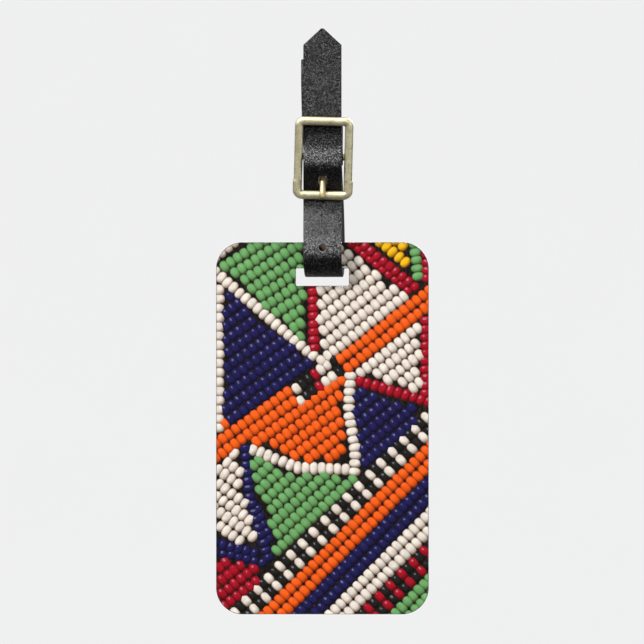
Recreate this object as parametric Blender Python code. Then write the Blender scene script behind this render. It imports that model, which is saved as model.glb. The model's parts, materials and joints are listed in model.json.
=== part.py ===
"""Luggage tag: a layered rigid plate hung in a buckled leather strap.

Metres, +Z up, the front faces -Y. The origin is the top of the strap's loop, on its inner face, where
the object hangs from a handle. Heights are measured up from the plate's bottom edge.
"""

import math

import bmesh
import bpy
from mathutils import Matrix, Vector

MM = 0.001

# Plate
PLATE_WIDTH = 50.8 * MM
PLATE_HEIGHT = 88.9 * MM
PLATE_CORNER = 6.35 * MM
SHEET_THICK = 0.5 * MM
PRINT_THICK = 0.15 * MM
CORE_THICK = 1.6 * MM
BOND_GAP = 0.05 * MM
SLOT_WIDTH = 12.7 * MM
SLOT_BOTTOM = 78.5 * MM
SLOT_TOP = 82.7 * MM
SLOT_CORNER = 0.3 * MM
SHEET_EDGE = 0.12 * MM

# Address panel on the back
LABEL_WIDTH = 41.0 * MM
LABEL_HEIGHT = 50.0 * MM
LABEL_BOTTOM = 9.0 * MM
LABEL_THICK = 0.2 * MM
LABEL_CORNER = 2.5 * MM

# Strap
STRAP_WIDTH = 9.1 * MM
STRAP_THICK = 1.5 * MM
SKIVED_THICK = 1.0 * MM
STRAP_CHAMFER = 0.25 * MM
TIP_SHOULDER = 135.8 * MM
TIP_APEX = 139.7 * MM
TIP_BLUNT = 0.35 * MM
TURNED_END = 116.6 * MM
TOP_FOLD_HEIGHT = 128.05 * MM
TOP_FOLD_RADIUS = 3.9 * MM
BOTTOM_FOLD_HEIGHT = 86.6 * MM
BOTTOM_FOLD_RADIUS = 5.25 * MM
WRAP_SHIFT = 0.35 * MM
TOP_FOLD_SHIFT = -0.55 * MM
BOTTOM_FOLD_SHIFT = 0.85 * MM
LOW_DIP_HEIGHT = 100.0 * MM
LOW_DIP_Y = -2.62 * MM
BULGE_HEIGHT = 108.0 * MM
BULGE_Y = -7.2 * MM
HIGH_DIP_HEIGHT = 117.6 * MM
HIGH_DIP_Y = -5.7 * MM
TIP_Y = -5.2 * MM
JOINED_HEIGHT = 114.0 * MM

# Holes in the strap
HOLE_RADIUS = 0.85 * MM
PRONG_HOLE_HEIGHT = 104.0 * MM
PRONG_HOLE_SHIFT = 0.13 * MM
SPARE_HOLE_HEIGHT = 87.5 * MM
PRONG_HOLE_LENGTH = 3.1 * MM
PRONG_SLOT_WIDTH = 2.0 * MM
WRAP_SLOT_RADIUS = 2.3 * MM
WRAP_SLOT_FRONT = 2.1 * MM
WRAP_SLOT_TOP = 112.6 * MM

# Stitching across the turned-back end
STITCH_HEIGHT = 114.9 * MM
STITCH_PITCH = 2.2 * MM
STITCH_HOLES = 4
STITCH_SHIFT = 0.25 * MM
THREAD_RADIUS = 0.24 * MM
THREAD_HOLE_RADIUS = 0.36 * MM
THREAD_STANDOFF = 0.08 * MM

# Buckle
BAR_HEIGHT = 109.2 * MM
BUCKLE_SHIFT = 0.25 * MM
BAR_Y = -4.05 * MM
BAR_RADIUS = 0.8 * MM
WRAP_RADIUS = 1.6 * MM
FRAME_TILT = math.radians(10.0)
FRAME_ROLL = math.radians(1.4)
FRAME_WIDTH = 13.9 * MM
FRAME_LENGTH = 19.75 * MM
RAIL_WIDTH = 2.0 * MM
RAIL_DEPTH = 1.8 * MM
RAIL_FORWARD = 2.5 * MM
FRAME_CORNER = 2.1 * MM
HEEL_STEP = 0.2 * MM
HEEL_TOP = -5.3 * MM
EAR_HEIGHT = 2.6 * MM
EAR_BACK = 1.1 * MM
EAR_INSET = 0.9 * MM
EAR_PROUD = 0.75 * MM
EAR_ROOT = 0.5 * MM
EAR_EDGE = 0.3 * MM

# Prong
PRONG_WIDTH = 1.45 * MM
PRONG_THICK = 1.15 * MM
PRONG_TIP_SHARE = 0.07
EYE_RADIUS = 1.6 * MM
EYE_BORE_RADIUS = 0.95 * MM

HANG_HEIGHT = TOP_FOLD_HEIGHT + TOP_FOLD_RADIUS - STRAP_THICK / 2


def level(height):
    """World Z of a height above the plate's bottom edge."""
    return height - HANG_HEIGHT


def ease(start, end, share):
    """From start to end with a level beginning and end."""
    return start + (end - start) * (1 - math.cos(math.pi * share)) / 2


def material(name, color, roughness, metallic=0.0, alpha=1.0):
    made = bpy.data.materials.new(name)
    made.use_nodes = True
    shader = made.node_tree.nodes["Principled BSDF"]
    shader.inputs["Base Color"].default_value = (*color, 1.0)
    shader.inputs["Roughness"].default_value = roughness
    shader.inputs["Metallic"].default_value = metallic
    shader.inputs["Alpha"].default_value = alpha
    made.diffuse_color = (*color, alpha)
    return made


def add_object(name, mesh, surface=None):
    bmesh.ops.recalc_face_normals(mesh, faces=mesh.faces)
    data = bpy.data.meshes.new(name)
    mesh.to_mesh(data)
    mesh.free()
    data.shade_smooth()
    data.set_sharp_from_angle(angle=math.radians(35))
    made = bpy.data.objects.new(name, data)
    bpy.context.scene.collection.objects.link(made)
    if surface:
        data.materials.append(surface)
    return made


def add_helper(name, mesh):
    """A cutter or a shape to be joined on, which isn't a piece of its own."""
    made = add_object(name, mesh)
    made.hide_render = True
    made.display_type = "WIRE"
    return made


def combine(piece, helper, operation):
    step = piece.modifiers.new(helper.name, "BOOLEAN")
    step.object = helper
    step.operation = operation
    step.solver = "EXACT"


def swept(rings, closed=False):
    """A tube through rings of points, with flat ends unless it closes on itself."""
    mesh = bmesh.new()
    loops = [[mesh.verts.new(point) for point in ring] for ring in rings]
    pairs = list(zip(loops, loops[1:]))
    if closed:
        pairs.append((loops[-1], loops[0]))
    else:
        mesh.faces.new(loops[0])
        mesh.faces.new(loops[-1])
    for near, far in pairs:
        for i, corner in enumerate(near):
            j = (i + 1) % len(near)
            mesh.faces.new((corner, near[j], far[j], far[i]))
    return mesh


def arc(center, radius, start, end, steps):
    """Points on an arc in a plane, its angles in degrees."""
    angles = [math.radians(start + (end - start) * i / steps) for i in range(steps + 1)]
    return [(center[0] + radius * math.cos(a), center[1] + radius * math.sin(a)) for a in angles]


def rounded_rectangle(width, low, high, corner, steps):
    """Outline in X and height, anticlockwise."""
    inner = width / 2 - corner
    centers = ((inner, low + corner), (inner, high - corner),
               (-inner, high - corner), (-inner, low + corner))
    outline = []
    for turn, center in enumerate(centers):
        outline += arc(center, corner, turn * 90 - 90, turn * 90, steps)
    return outline


def slab(outline, front, back, edge=0.0):
    """A flat piece of the outline, from front to back in Y, with chamfered rims on its front or back."""
    depths = [(front, 0.0), (back, 0.0)]
    if edge:
        depths = [(front, edge), (front + edge, 0.0), (back - edge, 0.0), (back, edge)]
    middle = Vector((sum(p[0] for p in outline), sum(p[1] for p in outline))) / len(outline)
    half = Vector((max(p[0] for p in outline), max(p[1] for p in outline))) - middle
    rings = []
    for y, inset in depths:
        scale = (1 - inset / half.x, 1 - inset / half.y)
        rings.append([(middle.x + (x - middle.x) * scale[0], y, level(middle.y + (h - middle.y) * scale[1]))
                      for x, h in outline])
    return swept(rings)


def rod(start, end, radius, sides):
    """A straight round rod."""
    start, end = Vector(start), Vector(end)
    along = (end - start).normalized()
    across = along.orthogonal().normalized()
    other = along.cross(across)
    turns = [2 * math.pi * (i + 0.5) / sides for i in range(sides)]
    round_points = [across * (radius * math.cos(a)) + other * (radius * math.sin(a)) for a in turns]
    return swept([[start + p for p in round_points], [end + p for p in round_points]])


def box(low, high):
    mesh = bmesh.new()
    bmesh.ops.create_cube(mesh, size=1.0)
    size = [b - a for a, b in zip(low, high)]
    middle = [(a + b) / 2 for a, b in zip(low, high)]
    bmesh.ops.scale(mesh, vec=size, verts=mesh.verts)
    bmesh.ops.translate(mesh, vec=middle, verts=mesh.verts)
    return mesh


def strap_front_y(height):
    """Where the middle of the front layer's thickness lies at a height."""
    marks = ((BOTTOM_FOLD_HEIGHT, -BOTTOM_FOLD_RADIUS), (LOW_DIP_HEIGHT, LOW_DIP_Y), (BULGE_HEIGHT, BULGE_Y),
             (HIGH_DIP_HEIGHT, HIGH_DIP_Y), (TIP_APEX, TIP_Y))
    for (low, y_low), (high, y_high) in zip(marks, marks[1:]):
        if height <= high:
            return ease(y_low, y_high, (height - low) / (high - low))
    return TIP_Y


def spread(start, end, steps):
    """Evenly spaced values after start, up to and with end."""
    return [start + (end - start) * i / steps for i in range(1, steps + 1)]


def strap_stations():
    """The strap's middle surface from turned-back end to tip: y, height, thickness, shift, half width."""
    half = STRAP_WIDTH / 2
    back_of_bar = BAR_Y + WRAP_RADIUS
    front_of_bar = BAR_Y - WRAP_RADIUS
    stations = [(back_of_bar, TURNED_END, SKIVED_THICK, WRAP_SHIFT, half)]
    for height in spread(TURNED_END, BAR_HEIGHT, 6):
        stations.append((back_of_bar, height, SKIVED_THICK, WRAP_SHIFT, half))
    for y, height in arc((BAR_Y, BAR_HEIGHT), WRAP_RADIUS, 0, -180, 16)[1:]:
        stations.append((y, height, SKIVED_THICK, WRAP_SHIFT, half))
    for height in spread(BAR_HEIGHT, TOP_FOLD_HEIGHT, 26):
        share = min(1.0, (height - BAR_HEIGHT) / (JOINED_HEIGHT - BAR_HEIGHT))
        shift = ease(WRAP_SHIFT, TOP_FOLD_SHIFT, (height - BAR_HEIGHT) / (TOP_FOLD_HEIGHT - BAR_HEIGHT))
        stations.append((ease(front_of_bar, -TOP_FOLD_RADIUS, share), height,
                         ease(SKIVED_THICK, STRAP_THICK, share), shift, half))
    for y, height in arc((0.0, TOP_FOLD_HEIGHT), TOP_FOLD_RADIUS, 180, 0, 20)[1:]:
        stations.append((y, height, STRAP_THICK, TOP_FOLD_SHIFT, half))
    for height in spread(TOP_FOLD_HEIGHT, BOTTOM_FOLD_HEIGHT, 24):
        share = (TOP_FOLD_HEIGHT - height) / (TOP_FOLD_HEIGHT - BOTTOM_FOLD_HEIGHT)
        stations.append((ease(TOP_FOLD_RADIUS, BOTTOM_FOLD_RADIUS, share), height, STRAP_THICK,
                         ease(TOP_FOLD_SHIFT, BOTTOM_FOLD_SHIFT, share), half))
    bottom = arc((0.0, BOTTOM_FOLD_HEIGHT), BOTTOM_FOLD_RADIUS, 0, -180, 24)[1:]
    for i, (y, height) in enumerate(bottom, 1):
        stations.append((y, height, STRAP_THICK, ease(BOTTOM_FOLD_SHIFT, 0.0, i / len(bottom)), half))
    for height in spread(BOTTOM_FOLD_HEIGHT, TIP_SHOULDER, 60):
        stations.append((strap_front_y(height), height, STRAP_THICK, 0.0, half))
    stations.append((strap_front_y(TIP_APEX), TIP_APEX, STRAP_THICK, 0.0, TIP_BLUNT))
    return stations


def strap_section(half_width, thickness):
    """Across the strap: a rectangle with its corners taken off, as X and distance from the middle surface."""
    cut = min(STRAP_CHAMFER, half_width / 2)
    wide, deep = half_width, thickness / 2
    return ((wide - cut, deep), (wide, deep - cut), (wide, cut - deep), (wide - cut, -deep),
            (cut - wide, -deep), (-wide, cut - deep), (-wide, deep - cut), (cut - wide, deep))


def make_strap(surface):
    stations = strap_stations()
    rings = []
    for i, (y, height, thickness, shift, half_width) in enumerate(stations):
        before = stations[max(i - 1, 0)]
        after = stations[min(i + 1, len(stations) - 1)]
        along = Vector((after[0] - before[0], after[1] - before[1])).normalized()
        rings.append([(shift + x, y + along.y * d, level(height) - along.x * d)
                      for x, d in strap_section(half_width, thickness)])
    strap = add_object("strap", swept(rings), surface)
    for name, cutter in strap_cutters():
        combine(strap, add_helper(name, cutter), "DIFFERENCE")


def stitch_places():
    """X of each stitch hole."""
    middle = (STITCH_HOLES - 1) / 2
    return [STITCH_SHIFT + (i - middle) * STITCH_PITCH for i in range(STITCH_HOLES)]


def prong_hole():
    """A long hole square to the leather, where the prong comes through the front layer."""
    reach = 0.2 * MM
    above, below = strap_front_y(PRONG_HOLE_HEIGHT + reach), strap_front_y(PRONG_HOLE_HEIGHT - reach)
    slope = (above - below) / (2 * reach)
    along = Vector((0.0, slope, 1.0)).normalized()
    square = Vector((0.0, along.z, -along.y))
    middle = Vector((PRONG_HOLE_SHIFT, strap_front_y(PRONG_HOLE_HEIGHT), level(PRONG_HOLE_HEIGHT)))
    radius = PRONG_SLOT_WIDTH / 2
    straight = (PRONG_HOLE_LENGTH - PRONG_SLOT_WIDTH) / 2
    outline = arc((0.0, straight), radius, 0, 180, 10) + arc((0.0, -straight), radius, 180, 360, 10)
    rings = [[middle + Vector((x, 0.0, 0.0)) + along * s + square * depth for x, s in outline]
             for depth in (-STRAP_THICK, STRAP_THICK)]
    return swept(rings)


def strap_cutters():
    bar = (BAR_Y, level(BAR_HEIGHT))
    slot_left, slot_right = BUCKLE_SHIFT - PRONG_SLOT_WIDTH / 2, BUCKLE_SHIFT + PRONG_SLOT_WIDTH / 2
    deep = 2 * STRAP_THICK
    front, back = -BOTTOM_FOLD_RADIUS, BOTTOM_FOLD_RADIUS
    spare = level(SPARE_HOLE_HEIGHT)
    end = level(BOTTOM_FOLD_HEIGHT)
    stitch_front = -TOP_FOLD_RADIUS - STRAP_THICK
    stitch_back = BAR_Y + WRAP_RADIUS + deep
    hole_shift = BOTTOM_FOLD_SHIFT
    cutters = [
        ("wrap_slot", rod((slot_left, *bar), (slot_right, *bar), WRAP_SLOT_RADIUS, 32)),
        ("wrap_slot_end", box((slot_left, BAR_Y - WRAP_SLOT_FRONT, bar[1]),
                              (slot_right, BAR_Y + WRAP_SLOT_RADIUS, level(WRAP_SLOT_TOP)))),
        ("prong_hole", prong_hole()),
        ("spare_hole", rod((0.0, front - deep, spare), (0.0, front + deep, spare), HOLE_RADIUS, 20)),
        ("back_hole", rod((hole_shift, back - deep, end), (hole_shift, back + deep, end), HOLE_RADIUS, 20)),
    ]
    height = level(STITCH_HEIGHT)
    for i, x in enumerate(stitch_places(), 1):
        hole = rod((x, stitch_front, height), (x, stitch_back, height), THREAD_HOLE_RADIUS, 10)
        cutters.append((f"stitch_hole_{i}", hole))
    return cutters


def make_stitching(surface):
    """Saddle stitching: the thread runs across both faces and passes through every hole."""
    lift = THREAD_RADIUS + THREAD_STANDOFF
    front = -TOP_FOLD_RADIUS - STRAP_THICK / 2 - lift
    back = BAR_Y + WRAP_RADIUS + SKIVED_THICK / 2 + lift
    height = level(STITCH_HEIGHT)
    places = stitch_places()
    left, right = places[0] - THREAD_RADIUS, places[-1] + THREAD_RADIUS
    runs = [rod((left, y, height), (right, y, height), THREAD_RADIUS, 10) for y in (front, back)]
    thread = add_object("strap_stitching", runs[0], surface)
    combine(thread, add_helper("thread_behind", runs[1]), "UNION")
    for i, x in enumerate(places, 1):
        through = rod((x, front, height), (x, back, height), THREAD_RADIUS * 0.9, 8)
        combine(thread, add_helper(f"thread_through_{i}", through), "UNION")


def rail_section():
    """Across a rail: outward distance and depth towards the back, with a domed front and a flat back."""
    wide, deep = RAIL_WIDTH / 2, RAIL_DEPTH / 2
    dome = [(wide * math.cos(a), -deep * (0.25 + 0.75 * math.sin(a)))
            for a in (math.radians(180 * i / 8) for i in range(9))]
    return dome + [(-wide, 0.75 * deep), (-0.85 * wide, deep), (0.85 * wide, deep), (wide, 0.75 * deep)]


def make_buckle_frame(surface, axis):
    """One casting: the ring, the two ears behind its rails and the bar between them."""
    mid_corner = FRAME_CORNER - RAIL_WIDTH / 2
    across, along = (FRAME_WIDTH - RAIL_WIDTH) / 2, (FRAME_LENGTH - RAIL_WIDTH) / 2
    centers = ((across - mid_corner, mid_corner - along), (across - mid_corner, along - mid_corner),
               (mid_corner - across, along - mid_corner), (mid_corner - across, mid_corner - along))
    route = []
    for turn, (x, z) in enumerate(centers):
        for step in range(7):
            angle = math.radians(turn * 90 - 90 + 15 * step)
            route.append((x, z, math.cos(angle), math.sin(angle)))
        if turn % 2 == 0:
            side = math.copysign(1.0, x)
            heels = [(x, HEEL_TOP + lift, side, 0.0) for lift in (-HEEL_STEP, HEEL_STEP)]
            route += heels if turn == 0 else heels[::-1]
    rings = []
    for x, z, out_x, out_z in route:
        ring = []
        for outward, depth in rail_section():
            heel = HEEL_STEP if z < HEEL_TOP and outward > -0.5 * RAIL_WIDTH else 0.0
            reach = mid_corner + outward
            ring.append((x + out_x * (reach + heel * abs(out_x)), depth - RAIL_FORWARD, z + out_z * reach))
        rings.append(ring)
    frame = add_object("buckle_frame", swept(rings, closed=True), surface)
    rail_back = RAIL_DEPTH / 2 - RAIL_FORWARD
    half_ear = EAR_HEIGHT / 2
    inner, outer = across - EAR_INSET, across + EAR_PROUD
    for name, low, high in (("ear_left", -outer, -inner), ("ear_right", inner, outer)):
        ear = box((low, rail_back - EAR_ROOT, -half_ear), (high, EAR_BACK, half_ear))
        bmesh.ops.bevel(ear, geom=list(ear.edges), offset=EAR_EDGE, segments=2, affect="EDGES", profile=0.5)
        helper = add_helper(name, ear)
        helper.parent = axis
        combine(frame, helper, "UNION")
    bar = add_helper("bar", rod((-across, 0.0, 0.0), (across, 0.0, 0.0), BAR_RADIUS, 24))
    bar.parent = axis
    combine(frame, bar, "UNION")
    frame.parent = axis


def prong_point(share):
    """The shank's middle line, a Bezier curve, as depth and length from the bar's axis."""
    handles = [Vector(p) * MM for p in ((-0.2, -1.1), (-0.3, -6.0), (-4.6, -6.6), (-4.14, -9.45))]
    rest = 1 - share
    weights = (rest ** 3, 3 * share * rest ** 2, 3 * share * share * rest, share ** 3)
    return sum((handle * weight for handle, weight in zip(handles, weights)), Vector((0.0, 0.0)))


def prong_stations():
    """Shares of the way along the shank, each with its section's size: full, then rounded off at the tip."""
    straight = 1 - PRONG_TIP_SHARE
    stations = [(straight * i / 14, 1.0) for i in range(14)]
    for angle in (0, 20, 40, 58, 74, 85):
        turn = math.radians(angle)
        stations.append((straight + PRONG_TIP_SHARE * math.sin(turn), math.cos(turn)))
    return stations


def make_prong(surface, axis):
    reach = 0.01
    rings = []
    for share, size in prong_stations():
        point = prong_point(share)
        along = (prong_point(share + reach) - prong_point(share - reach)).normalized()
        square = Vector((along.y, -along.x))
        wide, deep = PRONG_WIDTH / 2 * size, PRONG_THICK / 2 * size
        ring = []
        for k in range(12):
            angle = 2 * math.pi * (k + 0.5) / 12
            offset = square * (deep * math.sin(angle)) + point
            ring.append((wide * math.cos(angle), offset.x, offset.y))
        rings.append(ring)
    prong = add_object("prong", swept(rings), surface)
    half = PRONG_WIDTH / 2
    eye = add_helper("prong_eye", rod((-half, 0.0, 0.0), (half, 0.0, 0.0), EYE_RADIUS, 28))
    bore = add_helper("prong_bore", rod((-2 * half, 0.0, 0.0), (2 * half, 0.0, 0.0), EYE_BORE_RADIUS, 28))
    for helper, operation in ((eye, "UNION"), (bore, "DIFFERENCE")):
        helper.parent = axis
        combine(prong, helper, operation)
    prong.parent = axis


def make_plate(surfaces, axis):
    """The five flat layers, front to back, all cut to one outline with one slot, and the address panel."""
    outline = rounded_rectangle(PLATE_WIDTH, 0.0, PLATE_HEIGHT, PLATE_CORNER, 12)
    half_core = CORE_THICK / 2
    print_front = half_core + BOND_GAP
    sheet_back = print_front + PRINT_THICK + BOND_GAP
    layers = (
        ("front_sheet", -sheet_back - SHEET_THICK, -sheet_back, SHEET_EDGE),
        ("front_print", -print_front - PRINT_THICK, -print_front, 0.0),
        ("core", -half_core, half_core, 0.0),
        ("back_print", print_front, print_front + PRINT_THICK, 0.0),
        ("back_sheet", sheet_back, sheet_back + SHEET_THICK, SHEET_EDGE),
    )
    opening = rounded_rectangle(SLOT_WIDTH, SLOT_BOTTOM, SLOT_TOP, SLOT_CORNER, 3)
    slot = add_helper("plate_slot", slab(opening, -2 * CORE_THICK, 2 * CORE_THICK))
    for name, front, back, edge in layers:
        layer = add_object(name, slab(outline, front, back, edge), surfaces[name])
        combine(layer, slot, "DIFFERENCE")
        hang_on(layer, axis)
    label_front = sheet_back + SHEET_THICK + BOND_GAP
    panel = rounded_rectangle(LABEL_WIDTH, LABEL_BOTTOM, LABEL_BOTTOM + LABEL_HEIGHT, LABEL_CORNER, 6)
    hang_on(add_object("address_label", slab(panel, label_front, label_front + LABEL_THICK),
                       surfaces["address_label"]), axis)


def hang_on(piece, axis):
    """Moves the piece's origin to the axis that it turns on, leaving its shape where it is."""
    piece.data.transform(Matrix.Translation(-axis.location))
    piece.parent = axis


def add_axis(name, x, y, height, tilt=0.0, roll=0.0):
    axis = bpy.data.objects.new(name, None)
    bpy.context.scene.collection.objects.link(axis)
    axis.location = (x, y, level(height))
    axis.rotation_euler = (tilt, roll, 0.0)
    axis.empty_display_size = 5 * MM
    return axis


def main():
    for existing in list(bpy.data.objects):
        bpy.data.objects.remove(existing)
    brass = material("antique_brass", (0.62, 0.55, 0.36), 0.34, metallic=1.0)
    clear = material("clear_sheet", (0.95, 0.96, 0.97), 0.05, alpha=0.25)
    surfaces = {
        "front_sheet": clear,
        "front_print": material("front_print", (0.75, 0.25, 0.10), 0.4),
        "core": material("white_core", (0.86, 0.86, 0.84), 0.45),
        "back_print": material("back_print", (0.10, 0.08, 0.30), 0.4),
        "back_sheet": clear,
        "address_label": material("label", (0.88, 0.87, 0.82), 0.7),
    }
    make_strap(material("black_leather", (0.03, 0.03, 0.033), 0.5))
    make_stitching(material("black_thread", (0.05, 0.05, 0.05), 0.8))
    bar_axis = add_axis("buckle_axis", BUCKLE_SHIFT, BAR_Y, BAR_HEIGHT, FRAME_TILT, FRAME_ROLL)
    make_buckle_frame(brass, bar_axis)
    make_prong(brass, bar_axis)
    make_plate(surfaces, add_axis("tag_swing_axis", 0.0, 0.0, BOTTOM_FOLD_HEIGHT))


main()
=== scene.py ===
"""Looks of the luggage tag: a layered plate with a printed beadwork picture, in a buckled leather strap.

Metres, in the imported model's frame: +Z up, the front faces -Y, and the origin is where the strap hangs.
Heights are measured up from the plate's bottom edge.
"""

import json
import math
import random

import bmesh
import bpy
from mathutils import Matrix, Vector

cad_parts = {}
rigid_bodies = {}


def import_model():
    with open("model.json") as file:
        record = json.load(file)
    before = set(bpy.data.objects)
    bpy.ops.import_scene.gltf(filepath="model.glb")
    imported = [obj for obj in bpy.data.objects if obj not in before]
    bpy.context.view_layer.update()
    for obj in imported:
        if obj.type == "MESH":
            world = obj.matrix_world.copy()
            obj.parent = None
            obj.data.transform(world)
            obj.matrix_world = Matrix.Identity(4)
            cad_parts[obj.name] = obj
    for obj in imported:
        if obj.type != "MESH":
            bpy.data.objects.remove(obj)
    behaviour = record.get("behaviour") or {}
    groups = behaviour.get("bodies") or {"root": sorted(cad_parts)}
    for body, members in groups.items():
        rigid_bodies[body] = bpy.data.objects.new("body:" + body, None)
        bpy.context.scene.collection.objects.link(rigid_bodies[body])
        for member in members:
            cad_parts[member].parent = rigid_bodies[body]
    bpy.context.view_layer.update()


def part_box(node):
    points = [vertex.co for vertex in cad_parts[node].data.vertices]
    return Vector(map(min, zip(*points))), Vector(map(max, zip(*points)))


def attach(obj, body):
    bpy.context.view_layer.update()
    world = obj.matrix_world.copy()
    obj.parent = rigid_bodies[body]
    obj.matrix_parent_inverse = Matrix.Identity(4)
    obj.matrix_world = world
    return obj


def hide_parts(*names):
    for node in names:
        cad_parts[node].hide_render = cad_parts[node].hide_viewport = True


MM = 0.001

# Strap: the route and sizes of the CAD strap
STRAP_WIDTH = 9.1 * MM
STRAP_THICK = 1.5 * MM
SKIVED_THICK = 1.0 * MM
STRAP_ROUND = 0.28 * MM
TIP_SHOULDER = 135.8 * MM
TIP_APEX = 139.7 * MM
TIP_BLUNT = 0.35 * MM
TURNED_END = 116.6 * MM
TOP_FOLD_HEIGHT = 128.05 * MM
TOP_FOLD_RADIUS = 3.9 * MM
BOTTOM_FOLD_HEIGHT = 86.6 * MM
BOTTOM_FOLD_RADIUS = 5.25 * MM
WRAP_SHIFT = 0.35 * MM
TOP_FOLD_SHIFT = -0.55 * MM
BOTTOM_FOLD_SHIFT = 0.85 * MM
JOINED_HEIGHT = 114.0 * MM
FRONT_MARKS = ((BOTTOM_FOLD_HEIGHT, -BOTTOM_FOLD_RADIUS), (100.0 * MM, -2.62 * MM), (108.0 * MM, -7.2 * MM),
               (117.6 * MM, -5.7 * MM), (TIP_APEX, -5.2 * MM))

# How much painted sheen the strap's front has at heights in millimetres, as paler colour standing in for
# highlights and as a glossier finish, and how much its back has
SHEEN_BAND_HEIGHTS = ((84.6, 0.06), (86.4, 1.0), (89.6, 1.0), (91.0, 0.62), (97.4, 0.62), (100.0, 0.1), (105.8, 0.06),
          (108.2, 0.85), (110.2, 0.85), (112.4, 0.1), (117.0, 0.06), (119.4, 0.33), (140.0, 0.33))
BACK_PAINTED_SHEEN = 0.3

# Holes in the strap
HOLE_RADIUS = 0.85 * MM
HOLE_FLARE = 0.16 * MM
PRONG_HOLE_HEIGHT = 104.0 * MM
PRONG_HOLE_SHIFT = 0.13 * MM
PRONG_HOLE_LENGTH = 3.1 * MM
PRONG_SLOT_WIDTH = 2.0 * MM
SPARE_HOLE_HEIGHT = 87.5 * MM
WRAP_SLOT_RADIUS = 2.3 * MM
WRAP_SLOT_FRONT = 2.1 * MM
WRAP_SLOT_TOP = 112.6 * MM

FLARED_CUTTERS = ("prong_hole", "spare_hole", "back_hole")

# Stitching
STITCH_HEIGHT = 114.9 * MM
STITCH_PITCH = 2.2 * MM
STITCH_HOLES = 4
STITCH_SHIFT = 0.25 * MM
STITCH_HOLE_RADIUS = 0.36 * MM
THREAD_RADIUS = 0.24 * MM
THREAD_TURN = 1.3 * MM
THREAD_REACH = 1.66 * MM

# Buckle
BAR_HEIGHT = 109.2 * MM
BAR_Y = -4.05 * MM
BAR_RADIUS = 0.8 * MM
BUCKLE_SHIFT = 0.25 * MM
WRAP_RADIUS = 1.6 * MM
FRAME_TILT = math.radians(10.0)
FRAME_ROLL = math.radians(1.4)
FRAME_WIDTH = 13.9 * MM
FRAME_LENGTH = 19.75 * MM
RAIL_WIDTH = 2.0 * MM
RAIL_DEPTH = 1.8 * MM
RAIL_FORWARD = 2.5 * MM
FRAME_CORNER = 2.1 * MM
HEEL_STEP = 0.2 * MM
HEEL_TOP = -5.3 * MM
EAR_HEIGHT = 2.6 * MM
EAR_BACK = 1.1 * MM
EAR_INSET = 0.9 * MM
EAR_PROUD = 0.75 * MM
EAR_ROOT = 0.5 * MM
EAR_EDGE = 0.35 * MM
PRONG_WIDTH = 1.45 * MM
PRONG_THICK = 1.15 * MM
PRONG_HANDLES = ((-0.2, -1.1), (-0.3, -6.0), (-4.6, -6.6), (-4.14, -9.45))
EYE_RADIUS = 1.6 * MM
EYE_BORE_RADIUS = 0.95 * MM

# Plate
PLATE_CORNER = 6.35 * MM
SLOT_WIDTH = 12.7 * MM
SLOT_LOW = 78.5 * MM
SLOT_HIGH = 82.7 * MM
SLOT_CORNER = 0.3 * MM
LABEL_CORNER = 2.5 * MM

# Printed beads. A bead's half sizes are shares of its pitch and of its row
BEAD_PITCH = 1.92 * MM
BEAD_ROW = 2.66 * MM
BAND_ROW = 2.72 * MM
BEAD_FULL = 0.545
ROW_FULL = 0.53
BEAD_RISE = 0.1 * MM
BEAD_SIDES = 14
BEAD_SQUARENESS = 2.5
BEAD_REACH = 2 * MM
BEAD_INSET = 0.1 * MM
GROUND_THICK = 0.08 * MM
BEAD_GAP = 0.005 * MM
CROWDED = 1.62 * MM
STRING_CROWDED = 1.15 * MM
DIAGONAL = math.radians(45.5)

# Camera
VIEW_WIDTH = 153.85 * MM
CAMERA_LENS = 250.0
CAMERA_SENSOR = 36.0
LOOK_X = -0.1 * MM
LOOK_HEIGHT = 69.85 * MM

for existing in list(bpy.data.objects):
    bpy.data.objects.remove(existing)

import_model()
plate_low, plate_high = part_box("core")


def level(height):
    """World Z of a height above the plate's bottom edge."""
    return plate_low.z + height


def tint(red, green, blue):
    """A linear colour from screen values between 10 and 255."""
    return (*(((value / 255 + 0.055) / 1.055) ** 2.4 for value in (red, green, blue)), 1.0)


# Shader nodes


def material(paint):
    """Turns a function that adds nodes to a tree into one that makes a material of the same name."""
    def make():
        made = bpy.data.materials.new(paint.__name__)
        made.use_nodes = True
        made.node_tree.nodes.clear()
        paint(made.node_tree)
        return made
    return make


def node(tree, kind, inputs=None, **settings):
    """Adds a shader node. Each input takes a value or another node's output."""
    made = tree.nodes.new("ShaderNode" + kind)
    for key, value in settings.items():
        setattr(made, key, value)
    for key, value in (inputs or {}).items():
        if isinstance(value, bpy.types.NodeSocket):
            tree.links.new(value, made.inputs[key])
        else:
            made.inputs[key].default_value = value
    return made


def calc(tree, operation, *values):
    """One math node's result."""
    return node(tree, "Math", dict(enumerate(values)), operation=operation).outputs[0]


def plus(tree, first, second):
    return calc(tree, "ADD", first, second)


def times(tree, first, second):
    return calc(tree, "MULTIPLY", first, second)


def scaled(tree, value, factor, offset):
    """A value times a factor, plus an offset."""
    return calc(tree, "MULTIPLY_ADD", value, factor, offset)


def between(tree, value, low, high, out_low=0.0, out_high=1.0):
    """A smooth step from out_low at low to out_high at high."""
    inputs = {0: value, 1: low, 2: high, 3: out_low, 4: out_high}
    return node(tree, "MapRange", inputs, interpolation_type="SMOOTHSTEP").outputs[0]


def blended(tree, share, first, second, mode="MIX"):
    """Two colours mixed by a share."""
    made = node(tree, "Mix", {0: share, 6: first, 7: second}, data_type="RGBA", blend_type=mode)
    return made.outputs[2]


def place(tree, scale=(1.0, 1.0, 1.0)):
    """Where a point of the piece is, in metres times the scale."""
    spot = node(tree, "TexCoord").outputs["Object"]
    return node(tree, "Mapping", {"Vector": spot, "Scale": scale}).outputs[0]


def split(tree, vector):
    """A vector's X, Y and Z."""
    return node(tree, "SeparateXYZ", {0: vector}).outputs


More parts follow.
